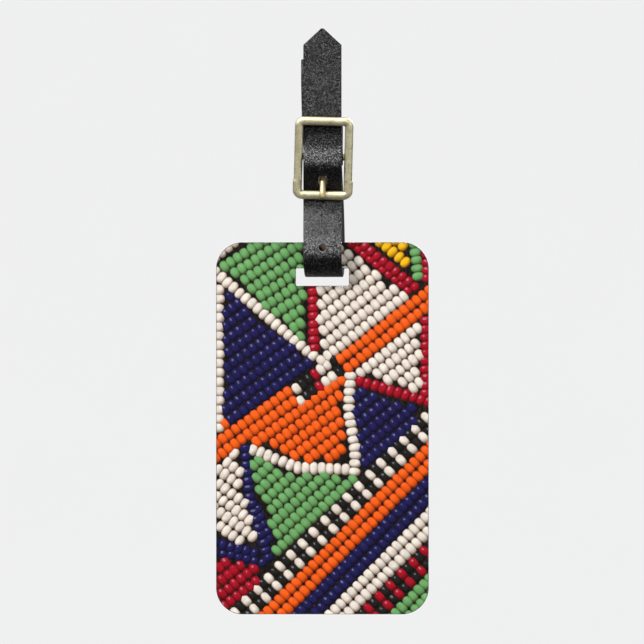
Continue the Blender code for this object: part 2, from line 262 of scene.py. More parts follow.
def noise(tree, spot, size, detail=3.0, roughness=0.55, distortion=0.0):
    """Cloudy values from 0 to 1 with patches of about this size."""
    inputs = {"Vector": spot, "Scale": 1 / size, "Detail": detail, "Roughness": roughness,
              "Distortion": distortion}
    return node(tree, "TexNoise", inputs).outputs[0]


def cells(tree, spot, size, feature="F1"):
    """Distances within cells of about this size."""
    inputs = {"Vector": spot, "Scale": 1 / size}
    return node(tree, "TexVoronoi", inputs, feature=feature).outputs["Distance"]


def bumped(tree, height, distance):
    return node(tree, "Bump", {"Height": height, "Distance": distance}).outputs[0]


def shaded(tree, inputs):
    """A Principled surface as the material's output."""
    shader = node(tree, "BsdfPrincipled", inputs)
    node(tree, "OutputMaterial", {"Surface": shader.outputs[0]})


def painted_sheen_bands(tree):
    """How much painted sheen the strap's front gets, as paler colour standing in for highlights and as a
    glossier finish: most on its bulge and near the spare hole.
    """
    parts = split(tree, place(tree))
    painted_sheen_and_polish = SHEEN_BAND_HEIGHTS[0][1]
    for (low, before), (high, after) in zip(SHEEN_BAND_HEIGHTS, SHEEN_BAND_HEIGHTS[1:]):
        step = between(tree, parts["Z"], level(low * MM), level(high * MM), 0.0, after - before)
        painted_sheen_and_polish = plus(tree, painted_sheen_and_polish, step)
    back_ends, front_starts = -1.6 * MM, -2.4 * MM
    front = between(tree, parts["Y"], back_ends, front_starts)
    return blended(tree, front, (BACK_PAINTED_SHEEN, BACK_PAINTED_SHEEN, BACK_PAINTED_SHEEN, 1), painted_sheen_and_polish)


@material
def grain_leather(tree):
    """Black leather with a fine creased grain, its high spots painted paler as glints, most in the bands of
    painted sheen.
    """
    spot = place(tree)
    painted_sheen_and_polish = painted_sheen_bands(tree)
    wobble = noise(tree, spot, 1.4 * MM, detail=2.0)
    swell = noise(tree, spot, 0.62 * MM, detail=2.0, roughness=0.6, distortion=0.8)
    fine = noise(tree, spot, 0.36 * MM, detail=3.0, roughness=0.6, distortion=0.6)
    creases = between(tree, cells(tree, spot, 0.54 * MM, feature="DISTANCE_TO_EDGE"), 0.0, 0.2)
    height = plus(tree, times(tree, creases, 0.5), times(tree, swell, 1.3))
    height = plus(tree, height, times(tree, fine, 0.7))
    # painted glints: the grain's high spots that get the pale highlight colour
    painted_glint_tops = times(tree, between(tree, fine, 0.48, 0.6), creases)
    # painted highlight: pale colour on the grain's high spots, strongest in the painted sheen bands
    color = blended(tree, painted_glint_tops, (0.0022, 0.0023, 0.003, 1), scaled(tree, painted_sheen_and_polish, 0.19, 0.03))
    shaded(tree, {"Base Color": color, "Roughness": scaled(tree, wobble, 0.12, 0.2),
                  "Specular IOR Level": scaled(tree, painted_sheen_and_polish, 0.55, 0.08),
                  "Normal": bumped(tree, height, 0.075 * MM)})


@material
def flesh_leather(tree):
    """The strap's inner side: dyed fibres with a short nap."""
    fibres = noise(tree, place(tree, (1.0, 1.0, 0.35)), 0.22 * MM, detail=6.0, roughness=0.7, distortion=0.6)
    patches = noise(tree, place(tree), 2.5 * MM)
    color = blended(tree, fibres, (0.012, 0.012, 0.015, 1), (0.075, 0.076, 0.085, 1))
    color = blended(tree, times(tree, patches, 0.5), color, (0.03, 0.031, 0.037, 1))
    shaded(tree, {"Base Color": color, "Roughness": 0.86, "Sheen Weight": 0.15, "Sheen Roughness": 0.5,
                  "Normal": bumped(tree, fibres, 0.12 * MM)})


def fibrous(tree, size, dark, light, roughness, relief, stretch=(1.0, 1.0, 1.0), detail=5.0, sheen=0.0):
    """Fine fibres, between two colours and raised by the relief."""
    fibres = noise(tree, place(tree, stretch), size, detail=detail, roughness=0.7)
    shaded(tree, {"Base Color": blended(tree, fibres, dark, light), "Roughness": roughness,
                  "Sheen Weight": sheen, "Normal": bumped(tree, fibres, relief)})


@material
def edge_leather(tree):
    """Cut and dyed edges: smoother and bluish grey, with faint streaks."""
    fibrous(tree, 0.3 * MM, (0.016, 0.018, 0.024, 1), (0.07, 0.076, 0.09, 1), 0.52, 0.05 * MM)


@material
def raw_leather(tree):
    """The undyed brown inside of the leather, seen in the walls of its holes."""
    fibrous(tree, 0.25 * MM, (0.07, 0.045, 0.025, 1), (0.30, 0.21, 0.12, 1), 0.75, 0.06 * MM)


@material
def waxed_thread(tree):
    """Dark waxed thread with fibres along its plies."""
    fibrous(tree, 0.05 * MM, (0.012, 0.012, 0.013, 1), (0.06, 0.058, 0.055, 1), 0.6, 0.02 * MM,
            stretch=(1.0, 1.6, 1.6), detail=4.0, sheen=0.2)


def antique_brass(tree, bright, patina):
    """Cast antique brass: rubbed bright on its edges, dark in its corners, with a fine pitted skin."""
    spot = place(tree)
    pits = noise(tree, spot, 0.3 * MM, detail=5.0, roughness=0.7)
    clouds = noise(tree, spot, 1.7 * MM, detail=4.0, roughness=0.6)
    grains = cells(tree, spot, 0.24 * MM)
    edges = between(tree, node(tree, "NewGeometry").outputs["Pointiness"], 0.46, 0.56)
    wear = plus(tree, times(tree, edges, 0.75), times(tree, clouds, 0.55))
    wear = plus(tree, wear, times(tree, pits, 0.3))
    color = blended(tree, between(tree, wear, 0.32, 0.92), patina, bright)
    color = blended(tree, between(tree, grains, 0.55, 0.85, 0.0, 0.35), color, patina)
    skin = plus(tree, pits, times(tree, between(tree, grains, 0.1, 0.6), -0.6))
    shaded(tree, {"Base Color": color, "Metallic": 1.0, "Roughness": scaled(tree, pits, 0.24, 0.40),
                  "Normal": bumped(tree, skin, 0.014 * MM)})


@material
def cast_brass(tree):
    antique_brass(tree, (0.80, 0.74, 0.50, 1), (0.19, 0.16, 0.085, 1))


@material
def prong_brass(tree):
    """Browner than the ring."""
    antique_brass(tree, (0.60, 0.50, 0.29, 1), (0.13, 0.095, 0.045, 1))


@material
def clear_plastic(tree):
    """Thin clear sheet: sees straight through its faces, glossy, and slightly frosted on its cut edges."""
    haze = noise(tree, place(tree), 6 * MM, detail=2.0)
    facing = split(tree, node(tree, "TexCoord").outputs["Normal"])["Y"]
    cut_edge = between(tree, calc(tree, "ABSOLUTE", facing), 0.75, 0.35, 0.0, 0.3)
    ripple = bumped(tree, haze, 0.004 * MM)
    through = node(tree, "BsdfTransparent", {"Color": (0.985, 0.99, 0.99, 1)})
    frost = node(tree, "BsdfDiffuse", {"Color": (0.72, 0.75, 0.76, 1)})
    gloss = node(tree, "BsdfGlossy", {"Color": (1, 1, 1, 1), "Roughness": 0.06, "Normal": ripple})
    body = node(tree, "MixShader", {0: cut_edge, 1: through.outputs[0], 2: frost.outputs[0]})
    fresnel = node(tree, "Fresnel", {"IOR": 1.46}).outputs[0]
    inner = node(tree, "NewGeometry").outputs["Backfacing"]
    shine = times(tree, fresnel, between(tree, inner, 0.0, 1.0, 1.0, 0.0))
    surface = node(tree, "MixShader", {0: shine, 1: body.outputs[0], 2: gloss.outputs[0]})
    node(tree, "OutputMaterial", {"Surface": surface.outputs[0]})


@material
def white_plastic(tree):
    """The white board in the middle, with fine saw marks and a little dust."""
    marks = noise(tree, place(tree, (1.0, 0.15, 1.0)), 0.25 * MM, detail=4.0)
    dust = noise(tree, place(tree), 3 * MM)
    color = blended(tree, dust, (0.80, 0.80, 0.78, 1), (0.88, 0.88, 0.86, 1))
    shaded(tree, {"Base Color": color, "Roughness": 0.42, "Normal": bumped(tree, marks, 0.03 * MM)})


@material
def print_ground(tree):
    """The printed dark gaps between the beads, with hints of threads."""
    threads = noise(tree, place(tree, (1.0, 1.0, 0.4)), 0.5 * MM, detail=4.0, distortion=1.0)
    lighter = between(tree, threads, 0.42, 0.75)
    color = blended(tree, lighter, (0.005, 0.004, 0.004, 1), (0.035, 0.024, 0.016, 1))
    shaded(tree, {"Base Color": color, "Roughness": 0.6, "Specular IOR Level": 0.05})


@material
def printed_beads(tree):
    """Beads as ink: each one's colour, with the shading and the glints of a printed picture."""
    slope = split(tree, node(tree, "Attribute", attribute_name="bead_slope").outputs["Vector"])
    color = node(tree, "Attribute", attribute_name="bead_color").outputs["Color"]
    warp = scaled(tree, noise(tree, place(tree), 0.9 * MM), 0.4, -0.2)
    right = plus(tree, slope["X"], warp)
    up = calc(tree, "SUBTRACT", slope["Y"], warp)
    reach = plus(tree, times(tree, slope["X"], slope["X"]), times(tree, slope["Y"], slope["Y"]))
    toward = calc(tree, "SQRT", calc(tree, "MAXIMUM", scaled(tree, reach, -0.92, 1.0), 0.03))
    lit = plus(tree, times(tree, right, -0.24), times(tree, up, 0.40))
    lit = plus(tree, lit, times(tree, toward, 0.88))
    shade = between(tree, lit, 0.02, 0.97)
    rim = between(tree, reach, 0.55, 1.02, 1.0, 0.34)
    deep = blended(tree, 1.0, color, (0.28, 0.2, 0.16, 1), mode="MULTIPLY")
    ink = blended(tree, times(tree, shade, rim), deep, color)
    uneven = between(tree, noise(tree, place(tree), 1.3 * MM), 0.3, 0.7, 0.86, 1.06)
    ink = blended(tree, 1.0, ink, uneven, mode="MULTIPLY")
    glint = times(tree, between(tree, lit, 0.965, 1.0, 0.0, 0.4), slope["Z"])
    ink = blended(tree, glint, ink, (0.6, 0.6, 0.78, 1))
    shaded(tree, {"Base Color": ink, "Roughness": 0.6, "Specular IOR Level": 0.05})


@material
def ruled_label(tree):
    """Write-on panel: matt paper with faint ruled lines and a thin printed border."""
    line_gap, line_width, margin = 7.5 * MM, 0.22 * MM, 4.5 * MM
    border_inset, border_width = 2.0 * MM, 0.3 * MM
    low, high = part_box("address_label")
    middle = (low + high) / 2
    half_width, half_height = (high.x - low.x) / 2, (high.z - low.z) / 2
    spot = split(tree, place(tree))
    across = calc(tree, "ABSOLUTE", calc(tree, "SUBTRACT", spot["X"], middle.x))
    up = calc(tree, "SUBTRACT", spot["Z"], middle.z)
    off_middle = calc(tree, "ABSOLUTE", up)
    off_line = calc(tree, "ABSOLUTE", calc(tree, "WRAP", up, line_gap / 2, -line_gap / 2))
    ruled = times(tree, calc(tree, "LESS_THAN", across, half_width - margin),
                  calc(tree, "LESS_THAN", off_middle, half_height - margin))
    ruled = times(tree, ruled, calc(tree, "LESS_THAN", off_line, line_width / 2))
    from_rim = calc(tree, "MINIMUM", calc(tree, "SUBTRACT", half_width, across),
                    calc(tree, "SUBTRACT", half_height, off_middle))
    off_border = calc(tree, "ABSOLUTE", calc(tree, "SUBTRACT", from_rim, border_inset))
    printed = calc(tree, "MAXIMUM", ruled, calc(tree, "LESS_THAN", off_border, border_width / 2))
    fibres = noise(tree, place(tree), 0.35 * MM, detail=5.0, roughness=0.65)
    paper = blended(tree, fibres, (0.60, 0.58, 0.52, 1), (0.73, 0.71, 0.65, 1))
    color = blended(tree, times(tree, printed, 0.75), paper, (0.10, 0.13, 0.17, 1))
    shaded(tree, {"Base Color": color, "Roughness": 0.78, "Specular IOR Level": 0.25,
                  "Normal": bumped(tree, fibres, 0.02 * MM)})


@material
def pale_backdrop(tree):
    """Studio paper, evenly pale to the camera, and dimmer in what it reflects onto the tag."""
    fibres = noise(tree, place(tree), 60 * MM)
    color = blended(tree, fibres, (0.840, 0.842, 0.845, 1), (0.850, 0.852, 0.855, 1))
    direct = node(tree, "LightPath").outputs["Is Camera Ray"]
    shaded(tree, {"Base Color": (0.03, 0.03, 0.03, 1), "Roughness": 1.0, "Specular IOR Level": 0.0,
                  "Emission Color": color, "Emission Strength": between(tree, direct, 0.0, 1.0, 0.2, 1.0)})


# Meshes


def mesh_object(name, mesh, surfaces):
    """An object from a bmesh, which is used up."""
    data = bpy.data.meshes.new(name)
    mesh.to_mesh(data)
    mesh.free()
    return data_object(name, data, surfaces)


def data_object(name, data, surfaces):
    """An object from a mesh, smooth apart from its sharp edges."""
    data.shade_smooth()
    data.set_sharp_from_angle(angle=math.radians(35))
    for surface in surfaces:
        data.materials.append(surface)
    return linked(name, data)


def linked(name, data):
    """An object in the scene."""
    made = bpy.data.objects.new(name, data)
    bpy.context.scene.collection.objects.link(made)
    return made


def finish_piece(piece, body, slot, *nodes):
    """The piece moves with its body and stands for the CAD nodes, which are hidden. The slot is not used."""
    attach(piece, body)
    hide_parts(*nodes)


def applied(piece, helpers=()):
    """Makes the piece's modifiers final and removes the shapes they used."""
    graph = bpy.context.evaluated_depsgraph_get()
    data = bpy.data.meshes.new_from_object(piece.evaluated_get(graph))
    piece.modifiers.clear()
    old, piece.data = piece.data, data
    bpy.data.meshes.remove(old)
    for helper in helpers:
        bpy.data.objects.remove(helper)


def combine(piece, helper, operation, careful=False):
    """Joins or cuts with a helper. The careful way is slower, and flared cutters need it."""
    step = piece.modifiers.new(helper.name, "BOOLEAN")
    step.object = helper
    step.operation = operation
    step.solver = "EXACT"
    step.use_self = careful


def swept(rings, closed=False):
    """A tube through rings of points, with flat ends unless it closes on itself."""
    mesh = bmesh.new()
    loops = [[mesh.verts.new(point) for point in ring] for ring in rings]
    pairs = list(zip(loops, loops[1:]))
    if closed:
        pairs.append((loops[-1], loops[0]))
    else:
        mesh.faces.new(loops[0])
        mesh.faces.new(loops[-1])
    for near, far in pairs:
        for i, corner in enumerate(near):
            j = (i + 1) % len(near)
            mesh.faces.new((corner, near[j], far[j], far[i]))
    bmesh.ops.recalc_face_normals(mesh, faces=mesh.faces)
    return mesh


def arc(center, radius, start, end, steps):
    """Points on an arc in a plane, its angles in degrees."""
    angles = [math.radians(start + (end - start) * i / steps) for i in range(steps + 1)]
    return [(center[0] + radius * math.cos(a), center[1] + radius * math.sin(a)) for a in angles]


def rounded_rectangle(left, right, low, high, corner, steps):
    """Outline in X and height, anticlockwise."""
    centers = ((right - corner, low + corner), (right - corner, high - corner),
               (left + corner, high - corner), (left + corner, low + corner))
    return [point for turn, center in enumerate(centers)
            for point in arc(center, corner, turn * 90 - 90, turn * 90, steps)]


def full_turn(sides, offset=0.0):
    """Evenly spaced angles round a circle."""
    return [2 * math.pi * (i + offset) / sides for i in range(sides)]


def rod(start, end, radius, sides, flare=0.0, flare_depths=(0.0, 1.0)):
    """A straight round rod. With a flare it widens towards its ends, from just before the two depths."""
    start, end = Vector(start), Vector(end)
    along = (end - start).normalized()
    across = along.orthogonal().normalized()
    other = along.cross(across)
    stations = [(start, radius), (end, radius)]
    if flare:
        near, far = (start.lerp(end, depth) for depth in flare_depths)
        stations = [(start, radius + flare + (near - start).length / 2), (near + along * 2 * flare, radius),
                    (far - along * 2 * flare, radius), (end, radius + flare + (end - far).length / 2)]
    return swept([[middle + across * (size * math.cos(a)) + other * (size * math.sin(a))
                   for a in full_turn(sides, 0.5)] for middle, size in stations])


def box(low, high):
    """A box between two corners."""
    mesh = bmesh.new()
    bmesh.ops.create_cube(mesh, size=1.0)
    bmesh.ops.scale(mesh, vec=[b - a for a, b in zip(low, high)], verts=mesh.verts)
    bmesh.ops.translate(mesh, vec=[(a + b) / 2 for a, b in zip(low, high)], verts=mesh.verts)
    return mesh


# Strap


def ease(start, end, share):
    """From start to end with a level beginning and end."""
    return start + (end - start) * (1 - math.cos(math.pi * share)) / 2


def strap_front_y(height):
    """Where the middle of the front layer's thickness lies at a height."""
    for (low, y_low), (high, y_high) in zip(FRONT_MARKS, FRONT_MARKS[1:]):
        if height <= high:
            return ease(y_low, y_high, (height - low) / (high - low))
    return FRONT_MARKS[-1][1]


def spread(start, end, steps):
    """Evenly spaced values after start, up to and with end."""
    return [start + (end - start) * i / steps for i in range(1, steps + 1)]


def strap_stations():
    """The strap's middle surface from turned-back end to tip: y, height, thickness, shift, half width."""
    half = STRAP_WIDTH / 2
    back_of_bar = BAR_Y + WRAP_RADIUS
    front_of_bar = BAR_Y - WRAP_RADIUS
    turned = [(back_of_bar, height) for height in [TURNED_END] + spread(TURNED_END, BAR_HEIGHT, 14)]
    turned += arc((BAR_Y, BAR_HEIGHT), WRAP_RADIUS, 0, -180, 28)[1:]
    stations = [(y, height, SKIVED_THICK, WRAP_SHIFT, half) for y, height in turned]
    for height in spread(BAR_HEIGHT, TOP_FOLD_HEIGHT, 44):
        share = min(1.0, (height - BAR_HEIGHT) / (JOINED_HEIGHT - BAR_HEIGHT))
        shift = ease(WRAP_SHIFT, TOP_FOLD_SHIFT, (height - BAR_HEIGHT) / (TOP_FOLD_HEIGHT - BAR_HEIGHT))
        stations.append((ease(front_of_bar, -TOP_FOLD_RADIUS, share), height,
                         ease(SKIVED_THICK, STRAP_THICK, share), shift, half))
    for y, height in arc((0.0, TOP_FOLD_HEIGHT), TOP_FOLD_RADIUS, 180, 0, 36)[1:]:
        stations.append((y, height, STRAP_THICK, TOP_FOLD_SHIFT, half))
    for height in spread(TOP_FOLD_HEIGHT, BOTTOM_FOLD_HEIGHT, 60):
        share = (TOP_FOLD_HEIGHT - height) / (TOP_FOLD_HEIGHT - BOTTOM_FOLD_HEIGHT)
        stations.append((ease(TOP_FOLD_RADIUS, BOTTOM_FOLD_RADIUS, share), height, STRAP_THICK,
                         ease(TOP_FOLD_SHIFT, BOTTOM_FOLD_SHIFT, share), half))
    bottom = arc((0.0, BOTTOM_FOLD_HEIGHT), BOTTOM_FOLD_RADIUS, 0, -180, 44)[1:]
    for i, (y, height) in enumerate(bottom, 1):
        stations.append((y, height, STRAP_THICK, ease(BOTTOM_FOLD_SHIFT, 0.0, i / len(bottom)), half))
    for height in spread(BOTTOM_FOLD_HEIGHT, TIP_SHOULDER, 110):
        stations.append((strap_front_y(height), height, STRAP_THICK, 0.0, half))
    for share in (0.25, 0.5, 0.75, 0.9, 1.0):
        height = TIP_SHOULDER + (TIP_APEX - TIP_SHOULDER) * share
        stations.append((strap_front_y(height), height, STRAP_THICK, 0.0, half + (TIP_BLUNT - half) * share))
    return stations


def strap_section(half_width, thickness):
    """Across the strap, as X and distance from the middle surface, with rounded corners. It goes round from
    the grain side to an edge, the flesh side and the other edge."""
    deep = thickness / 2
    turn = min(STRAP_ROUND, half_width * 0.6, deep * 0.9)
    section = []
    for side_x, side_d, start in ((1, 1, 0), (-1, 1, 90), (-1, -1, 180), (1, -1, 270)):
        middle = (side_x * (half_width - turn), side_d * (deep - turn))
        section += arc(middle, turn, start, start + 90, 4)
        if side_x * side_d > 0:
            inner = [side_x * (half_width - turn) * share for share in (0.6, 0.2, -0.2, -0.6)]
            section += [(x, side_d * deep) for x in inner]
    return section


def make_strap(grain, flesh, edge, raw):
    """The strap: leather swept along its route, with its holes cut through."""
    stations = strap_stations()
    rings = []
    for i, (y, height, thickness, shift, half_width) in enumerate(stations):
        before = stations[max(i - 1, 0)]
        after = stations[min(i + 1, len(stations) - 1)]
        along = Vector((after[0] - before[0], after[1] - before[1])).normalized()
        rings.append([(shift + x, y + along.y * d, level(height) - along.x * d)
                      for x, d in strap_section(half_width, thickness)])
    mesh = swept(rings)
    sides = len(rings[0])
    section = strap_section(STRAP_WIDTH / 2, STRAP_THICK)
    grain_side, flesh_side, edge_side, hole_side = range(4)
    kinds = []
    for i in range(sides):
        middle = (section[i][1] + section[(i + 1) % sides][1]) / STRAP_THICK
        kinds.append(flesh_side if middle > 0.8 else grain_side if middle < -0.8 else edge_side)
    for i, face in enumerate(mesh.faces):
        face.material_index = kinds[(i - 2) % sides] if i > 1 else edge_side
    surfaces = (grain, flesh, edge, raw)
    strap = mesh_object("leather_strap", mesh, surfaces)
    helpers = []
    for name, cutter in strap_cutters():
        for face in cutter.faces:
            face.material_index = hole_side
        helper = mesh_object(name, cutter, surfaces)
        combine(strap, helper, "DIFFERENCE", careful=name in FLARED_CUTTERS)
        helpers.append(helper)
    applied(strap, helpers)
    strap.data.set_sharp_from_angle(angle=math.radians(40))
    finish_piece(strap, "strap", "leather", "strap")


def stitch_places():
    """X of each stitch hole."""
    middle = (STITCH_HOLES - 1) / 2
    return [STITCH_SHIFT + (i - middle) * STITCH_PITCH for i in range(STITCH_HOLES)]


def prong_hole():
    """A long hole square to the leather, where the prong comes through the front layer."""
    reach = 0.2 * MM
    above, below = strap_front_y(PRONG_HOLE_HEIGHT + reach), strap_front_y(PRONG_HOLE_HEIGHT - reach)
    along = Vector((0.0, (above - below) / (2 * reach), 1.0)).normalized()
    square = Vector((0.0, along.z, -along.y))
    middle = Vector((PRONG_HOLE_SHIFT, strap_front_y(PRONG_HOLE_HEIGHT), level(PRONG_HOLE_HEIGHT)))
    straight = (PRONG_HOLE_LENGTH - PRONG_SLOT_WIDTH) / 2
    rings = []
    skin = STRAP_THICK / 2
    for depth, wider in ((-2 * skin, 0.42), (-0.62 * skin, 0.0), (0.62 * skin, 0.0), (2 * skin, 0.42)):
        radius = PRONG_SLOT_WIDTH / 2 + wider * MM
        outline = arc((0.0, straight), radius, 0, 180, 16) + arc((0.0, -straight), radius, 180, 360, 16)
        rings.append([middle + Vector((x, 0.0, 0.0)) + along * s + square * depth for x, s in outline])
    return swept(rings)


def strap_cutters():
    """What is cut from the strap, as names and meshes."""
    bar = (BAR_Y, level(BAR_HEIGHT))
    slot_left, slot_right = BUCKLE_SHIFT - PRONG_SLOT_WIDTH / 2, BUCKLE_SHIFT + PRONG_SLOT_WIDTH / 2
    cutters = [
        ("wrap_slot", rod((slot_left, *bar), (slot_right, *bar), WRAP_SLOT_RADIUS, 48)),
        ("wrap_slot_end", box((slot_left, BAR_Y - WRAP_SLOT_FRONT, bar[1]),
                              (slot_right, BAR_Y + WRAP_SLOT_RADIUS, level(WRAP_SLOT_TOP)))),
        ("prong_hole", prong_hole()),
    ]
    deep = 2 * STRAP_THICK
    skins = ((deep - STRAP_THICK / 2) / (2 * deep), (deep + STRAP_THICK / 2) / (2 * deep))
    for name, x, y, height in (("spare_hole", 0.0, -BOTTOM_FOLD_RADIUS, SPARE_HOLE_HEIGHT),
                               ("back_hole", BOTTOM_FOLD_SHIFT, BOTTOM_FOLD_RADIUS, BOTTOM_FOLD_HEIGHT)):
        start, end = (x, y - deep, level(height)), (x, y + deep, level(height))
        cutters.append((name, rod(start, end, HOLE_RADIUS, 36, HOLE_FLARE, skins)))
    for i, x in enumerate(stitch_places(), 1):
        hole = rod((x, -TOP_FOLD_RADIUS - STRAP_THICK, level(STITCH_HEIGHT)),
                   (x, BAR_Y + WRAP_RADIUS + deep, level(STITCH_HEIGHT)), STITCH_HOLE_RADIUS, 16)
        cutters.append((f"stitch_hole_{i}", hole))
    return cutters


def make_stitching(surface):
    """Two threads of three plies each, on opposite faces between one pair of holes and the next."""
    front = -TOP_FOLD_RADIUS - STRAP_THICK / 2
    back = BAR_Y + WRAP_RADIUS + SKIVED_THICK / 2
    middle = (front + back) / 2
    places = stitch_places()
    steps, steepness, squareness, apart = 60, 0.92, 0.3, 0.04 * MM
    mesh = bmesh.new()
    for first_side in (-1, 1):
        path = []
        side = first_side
        height = level(STITCH_HEIGHT) + apart * first_side
        for left in places[:-1]:
            for step in range(steps):
                t = step / steps
                x = left + STITCH_PITCH * (t - steepness * math.sin(2 * math.pi * t) / (2 * math.pi))
                y = middle + side * THREAD_REACH * math.sin(math.pi * t) ** squareness
                path.append(Vector((x, y, height)))
            side = -side
        path.append(Vector((places[-1], middle, height)))
        thread = swept(thread_rings(path))
        data = bpy.data.meshes.new("thread")
        thread.to_mesh(data)
        thread.free()
        mesh.from_mesh(data)
        bpy.data.meshes.remove(data)
    stitching = mesh_object("saddle_stitching", mesh, (surface,))
    finish_piece(stitching, "strap", "thread", "strap_stitching")


def thread_rings(path):
    """Three-lobed sections that turn along the path, so that the plies show."""
    rings = []
    gone = 0.0
    for i, point in enumerate(path):
        before, after = path[max(i - 1, 0)], path[min(i + 1, len(path) - 1)]
        along = (after - before).normalized()
        up = Vector((0.0, 0.0, 1.0))
        side = along.cross(up).normalized()
        gone += (point - before).length if i else 0.0
        turn = 2 * math.pi * gone / THREAD_TURN
        ring = []
        for angle in full_turn(18):
            radius = THREAD_RADIUS * (0.84 + 0.16 * math.cos(3 * (angle + turn)))
            ring.append(point + side * (radius * math.cos(angle)) + up * (radius * math.sin(angle)))
        rings.append(ring)
    return rings


# Buckle


def rail_section():
    """Across a rail: outward distance and depth towards the back, with a domed front and a flat back."""
    wide, deep = RAIL_WIDTH / 2, RAIL_DEPTH / 2
    dome = [(wide * x, -deep * (0.25 + 0.75 * y)) for x, y in arc((0.0, 0.0), 1.0, 0, 180, 14)]
    back = ((wide, 0.72 * deep), (0.92 * wide, 0.92 * deep), (0.8 * wide, deep))
    return dome + [(-x, depth) for x, depth in back] + list(reversed(back))


def buckle_matrix():
    """Places the buckle's own frame, which has the bar's axis along X, on the strap."""
    turn = Matrix.Rotation(FRAME_ROLL, 4, "Y") @ Matrix.Rotation(FRAME_TILT, 4, "X")
    return Matrix.Translation((BUCKLE_SHIFT, BAR_Y, level(BAR_HEIGHT))) @ turn


def cast(piece, voxel, rounds):
    """Melts a joined shape's edges as a casting's are."""
    melt = piece.modifiers.new("melt", "REMESH")
    melt.mode = "VOXEL"
    melt.voxel_size = voxel
    melt.use_smooth_shade = True
    soften = piece.modifiers.new("soften", "SMOOTH")
    soften.iterations = rounds
    soften.factor = 0.5


def make_buckle(surface):
    """The ring, swept round its corners, with the centre bar and its two ears."""
    mid_corner = FRAME_CORNER - RAIL_WIDTH / 2
    across, along = (FRAME_WIDTH - RAIL_WIDTH) / 2, (FRAME_LENGTH - RAIL_WIDTH) / 2
    centers = ((across - mid_corner, mid_corner - along), (across - mid_corner, along - mid_corner),
               (mid_corner - across, along - mid_corner), (mid_corner - across, mid_corner - along))
    route = []
    for turn, (x, z) in enumerate(centers):
        route += [(x, z, *out) for out in arc((0.0, 0.0), 1.0, turn * 90 - 90, turn * 90, 12)]
        if turn % 2 == 0:
            side = math.copysign(1.0, x)
            heels = [(x, HEEL_TOP + lift, side, 0.0) for lift in (-HEEL_STEP, HEEL_STEP)]
            route += heels if turn == 0 else heels[::-1]
    rings = []
    for x, z, out_x, out_z in route:
        ring = []
        for outward, depth in rail_section():
            heel = HEEL_STEP * abs(out_x) if z < HEEL_TOP and outward > -0.5 * RAIL_WIDTH else 0.0
            reach = mid_corner + outward
            ring.append((x + out_x * (reach + heel), depth - RAIL_FORWARD, z + out_z * reach))
        rings.append(ring)
    buckle = mesh_object("buckle_casting", swept(rings, closed=True), (surface,))
    rail_back = RAIL_DEPTH / 2 - RAIL_FORWARD
    half_ear = EAR_HEIGHT / 2
    inner, outer = across - EAR_INSET, across + EAR_PROUD
    helpers = []
    for name, low, high in (("ear_left", -outer, -inner), ("ear_right", inner, outer)):
        ear = box((low, rail_back - EAR_ROOT, -half_ear), (high, EAR_BACK, half_ear))
        bmesh.ops.bevel(ear, geom=list(ear.edges), offset=EAR_EDGE, segments=3, affect="EDGES", profile=0.5)
        helpers.append(mesh_object(name, ear, (surface,)))
    bar = rod((-across, 0.0, 0.0), (across, 0.0, 0.0), BAR_RADIUS, 40)
    helpers.append(mesh_object("bar", bar, (surface,)))
    for helper in helpers:
        combine(buckle, helper, "UNION")
    cast(buckle, 0.11 * MM, 6)
    applied(buckle, helpers)
    buckle.data.transform(buckle_matrix())
    finish_piece(buckle, "buckle", "antique_brass", "buckle_frame")


def prong_point(share):
    """The shank's middle line, a Bezier curve, as depth and length from the bar's axis."""
    handles = [Vector(p) * MM for p in PRONG_HANDLES]
    rest = 1 - share
    weights = (rest ** 3, 3 * share * rest ** 2, 3 * share * share * rest, share ** 3)
    return sum((handle * weight for handle, weight in zip(handles, weights)), Vector((0.0, 0.0)))


def make_prong(surface):
    """The prong: a flattened wire with a round tip, and its eye with a bore for the bar."""
    tip_share, reach = 0.07, 0.01
    straight = 1 - tip_share
    stations = [(straight * i / 30, 1.0) for i in range(30)]
    for angle in range(0, 90, 9):
        turn = math.radians(angle)
        stations.append((straight + tip_share * math.sin(turn), math.cos(turn)))
    rings = []
    for share, size in stations:
        point = prong_point(share)
        along = (prong_point(share + reach) - prong_point(share - reach)).normalized()
        square = Vector((along.y, -along.x))
        ring = []
        for angle in full_turn(28, 0.5):
            offset = square * (PRONG_THICK / 2 * size * math.sin(angle)) + point
            ring.append((PRONG_WIDTH / 2 * size * math.cos(angle), offset.x, offset.y))
        rings.append(ring)
    prong = mesh_object("buckle_prong", swept(rings), (surface,))
    half = PRONG_WIDTH / 2
    helpers = []
    for name, length, radius, operation in (("prong_eye", half, EYE_RADIUS, "UNION"),
                                            ("prong_bore", 2 * half, EYE_BORE_RADIUS, "DIFFERENCE")):
        helper = mesh_object(name, rod((-length, 0.0, 0.0), (length, 0.0, 0.0), radius, 48), (surface,))
        combine(prong, helper, operation)
        helpers.append(helper)
    cast(prong, 0.07 * MM, 3)
    applied(prong, helpers)
    prong.data.transform(buckle_matrix())
    finish_piece(prong, "prong", "antique_brass", "prong")


# Plate


def layer_outline(steps):
    """The plate's outline, in X and height."""
    return rounded_rectangle(plate_low.x, plate_high.x, 0.0, plate_high.z - plate_low.z, PLATE_CORNER, steps)


def slot_outline(steps):
    """The slot's outline, in X and height."""
    return rounded_rectangle(-SLOT_WIDTH / 2, SLOT_WIDTH / 2, SLOT_LOW, SLOT_HIGH, SLOT_CORNER, steps)


